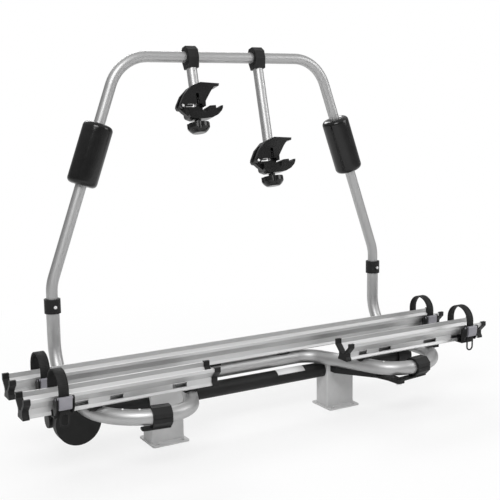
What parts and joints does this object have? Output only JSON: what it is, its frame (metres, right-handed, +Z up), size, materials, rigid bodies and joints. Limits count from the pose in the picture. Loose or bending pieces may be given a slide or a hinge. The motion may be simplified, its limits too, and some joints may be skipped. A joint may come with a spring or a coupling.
{
  "type": "caravan bike carrier",
  "caption": "Tilting carrier for a caravan drawbar: wheel rails with straps on a looped tube frame, and an upright padded bow with sliding arms and screw claws.",
  "frame": {"origin": "middle of the underside of the whole carrier, on the drawbar's top face", "axes": "+X along the wheel rails to the right, +Y from the loops back to the bow, +Z up"},
  "size_m": [1.308, 0.4143, 0.9714],
  "materials": {
    "bracket_steel": "satin light grey paint",
    "hinge_black": "satin black powder coat",
    "tube_aluminium": "satin anodised",
    "rail_aluminium": "bright anodised",
    "black_plastic": "fine moulded grain",
    "gloss_black": "smooth gloss",
    "strap_rubber": "ribbed matt",
    "buckle_grey": "satin moulded",
    "zinc_steel": "bright zinc"
  },
  "bodies": {
    "drawbar_mount": {"left_bracket": "bracket_steel", "right_bracket": "bracket_steel", "hinge_bar": "hinge_black", "bar_end_plugs": "black_plastic"},
    "platform": {"frame_tube": "tube_aluminium", "left_saddle": "black_plastic", "right_saddle": "black_plastic", "hinge_cover": "black_plastic", "back_rail": "rail_aluminium", "near_rail_left": "rail_aluminium", "near_rail_right": "rail_aluminium", "back_rail_left_cap": "black_plastic", "back_rail_right_cap": "black_plastic", "near_left_outer_cap": "black_plastic", "near_left_inner_cap": "black_plastic", "near_right_inner_cap": "black_plastic", "near_right_outer_cap": "black_plastic", "rail_seats": "black_plastic", "left_loop_clamp": "black_plastic", "right_loop_clamp": "black_plastic", "left_strip": "hinge_black", "right_strip": "hinge_black", "catch_bolt": "zinc_steel", "left_collar": "black_plastic", "right_collar": "black_plastic", "collar_screws": "zinc_steel"},
    "catch": {"catch_lever": "hinge_black"},
    "bow": {"bow_tube": "tube_aluminium", "left_bow_pad": "gloss_black", "right_bow_pad": "gloss_black"},
    "short_arm_slider": {"short_arm_liner": "black_plastic"},
    "short_arm_swing": {"short_arm_clasp": "black_plastic", "short_arm": "tube_aluminium"},
    "short_claw": {"short_claw_upper_jaw": "gloss_black", "short_claw_jaw_pin": "zinc_steel"},
    "short_jaw": {"short_claw_lower_jaw": "gloss_black"},
    "short_screw": {"short_claw_spindle": "zinc_steel", "short_claw_knob": "gloss_black"},
    "long_arm_slider": {"long_arm_liner": "black_plastic"},
    "long_arm_swing": {"long_arm_clasp": "black_plastic", "long_arm": "tube_aluminium"},
    "long_claw": {"long_claw_upper_jaw": "gloss_black", "long_claw_jaw_pin": "zinc_steel"},
    "long_jaw": {"long_claw_lower_jaw": "gloss_black"},
    "long_screw": {"long_claw_spindle": "zinc_steel", "long_claw_knob": "gloss_black"},
    "back_left_strap": {"back_left_strap_shoe": "black_plastic", "back_left_strap_band": "strap_rubber"},
    "back_left_strap_lever": {"back_left_strap_buckle": "buckle_grey"},
    "back_right_strap": {"back_right_strap_shoe": "black_plastic", "back_right_strap_band": "strap_rubber"},
    "back_right_strap_lever": {"back_right_strap_buckle": "buckle_grey"},
    "near_left_strap": {"near_left_strap_shoe": "black_plastic", "near_left_strap_band": "strap_rubber"},
    "near_left_strap_lever": {"near_left_strap_buckle": "buckle_grey"},
    "near_right_strap": {"near_right_strap_shoe": "black_plastic", "near_right_strap_band": "strap_rubber"},
    "near_right_strap_lever": {"near_right_strap_buckle": "buckle_grey"}
  },
  "joints": [
    {"name": "carrier_tilt", "type": "hinge", "parent": "drawbar_mount", "child": "platform", "pos_m": [0, 0.0396, 0.105], "axis": [1, 0, 0], "range_deg": [-45, 0]},
    {"name": "catch_swing", "type": "hinge", "parent": "platform", "child": "catch", "pos_m": [0.2966, -0.19066, 0.115], "axis": [0, 0, 1], "range_deg": [0, 60]},
    {"name": "bow_height", "type": "slide", "parent": "platform", "child": "bow", "axis": [0, 0, 1], "range_m": [0, 0.05]},
    {"name": "short_arm_slide", "type": "slide", "parent": "bow", "child": "short_arm_slider", "axis": [1, 0, 0], "range_m": [-0.1, 0.05]},
    {"name": "short_arm_turn", "type": "hinge", "parent": "short_arm_slider", "child": "short_arm_swing", "pos_m": [-0.098, 0.1696, 0.943], "axis": [1, 0, 0], "range_deg": [-60, 20]},
    {"name": "short_claw_turn", "type": "hinge", "parent": "short_arm_swing", "child": "short_claw", "pos_m": [-0.098, 0.15025, 0.86538], "axis": [0, -0.2419, -0.9703], "range_deg": [-180, 180]},
    {"name": "short_jaw_close", "type": "hinge", "parent": "short_claw", "child": "short_jaw", "pos_m": [-0.1436, 0.13839, 0.81783], "axis": [0, -0.9703, 0.2419], "range_deg": [-8, 12]},
    {"name": "short_knob_turn", "type": "hinge", "parent": "short_jaw", "child": "short_screw", "pos_m": [-0.1, 0.12605, 0.76835], "axis": [0, -0.2419, -0.9703], "range_deg": [-1200, 2150]},
    {"name": "long_arm_slide", "type": "slide", "parent": "bow", "child": "long_arm_slider", "axis": [1, 0, 0], "range_m": [-0.05, 0.1]},
    {"name": "long_arm_turn", "type": "hinge", "parent": "long_arm_slider", "child": "long_arm_swing", "pos_m": [0.098, 0.1696, 0.943], "axis": [1, 0, 0], "range_deg": [-60, 20]},
    {"name": "long_claw_turn", "type": "hinge", "parent": "long_arm_swing", "child": "long_claw", "pos_m": [0.098, 0.11468, 0.72274], "axis": [0, -0.2419, -0.9703], "range_deg": [-180, 180]},
    {"name": "long_jaw_close", "type": "hinge", "parent": "long_claw", "child": "long_jaw", "pos_m": [0.0524, 0.10283, 0.6752], "axis": [0, -0.9703, 0.2419], "range_deg": [-8, 12]},
    {"name": "long_knob_turn", "type": "hinge", "parent": "long_jaw", "child": "long_screw", "pos_m": [0.096, 0.09049, 0.62571], "axis": [0, -0.2419, -0.9703], "range_deg": [-1200, 2150]},
    {"name": "back_left_strap_slide", "type": "slide", "parent": "platform", "child": "back_left_strap", "axis": [1, 0, 0], "range_m": [-0.035, 0.03]},
    {"name": "back_left_strap_lever_lift", "type": "hinge", "parent": "back_left_strap", "child": "back_left_strap_lever", "pos_m": [-0.56, 0.012, 0.2105], "axis": [-1, 0, 0], "range_deg": [0, 60]},
    {"name": "back_right_strap_slide", "type": "slide", "parent": "platform", "child": "back_right_strap", "axis": [1, 0, 0], "range_m": [-0.05, 0.015]},
    {"name": "back_right_strap_lever_lift", "type": "hinge", "parent": "back_right_strap", "child": "back_right_strap_lever", "pos_m": [0.58, 0.012, 0.2105], "axis": [-1, 0, 0], "range_deg": [0, 60]},
    {"name": "near_left_strap_slide", "type": "slide", "parent": "platform", "child": "near_left_strap", "axis": [1, 0, 0], "range_m": [-0.035, 0.04]},
    {"name": "near_left_strap_lever_lift", "type": "hinge", "parent": "near_left_strap", "child": "near_left_strap_lever", "pos_m": [-0.57, -0.145, 0.2105], "axis": [-1, 0, 0], "range_deg": [0, 60]},
    {"name": "near_right_strap_slide", "type": "slide", "parent": "platform", "child": "near_right_strap", "axis": [1, 0, 0], "range_m": [-0.05, 0.02]},
    {"name": "near_right_strap_lever_lift", "type": "hinge", "parent": "near_right_strap", "child": "near_right_strap_lever", "pos_m": [0.585, -0.145, 0.2105], "axis": [-1, 0, 0], "range_deg": [0, 60]}
  ],
  "couplings": [
    {"joint": "short_jaw_close", "follows": "short_knob_turn", "ratio": 0.0055814},
    {"joint": "long_jaw_close", "follows": "long_knob_turn", "ratio": 0.0055814}
  ]
}
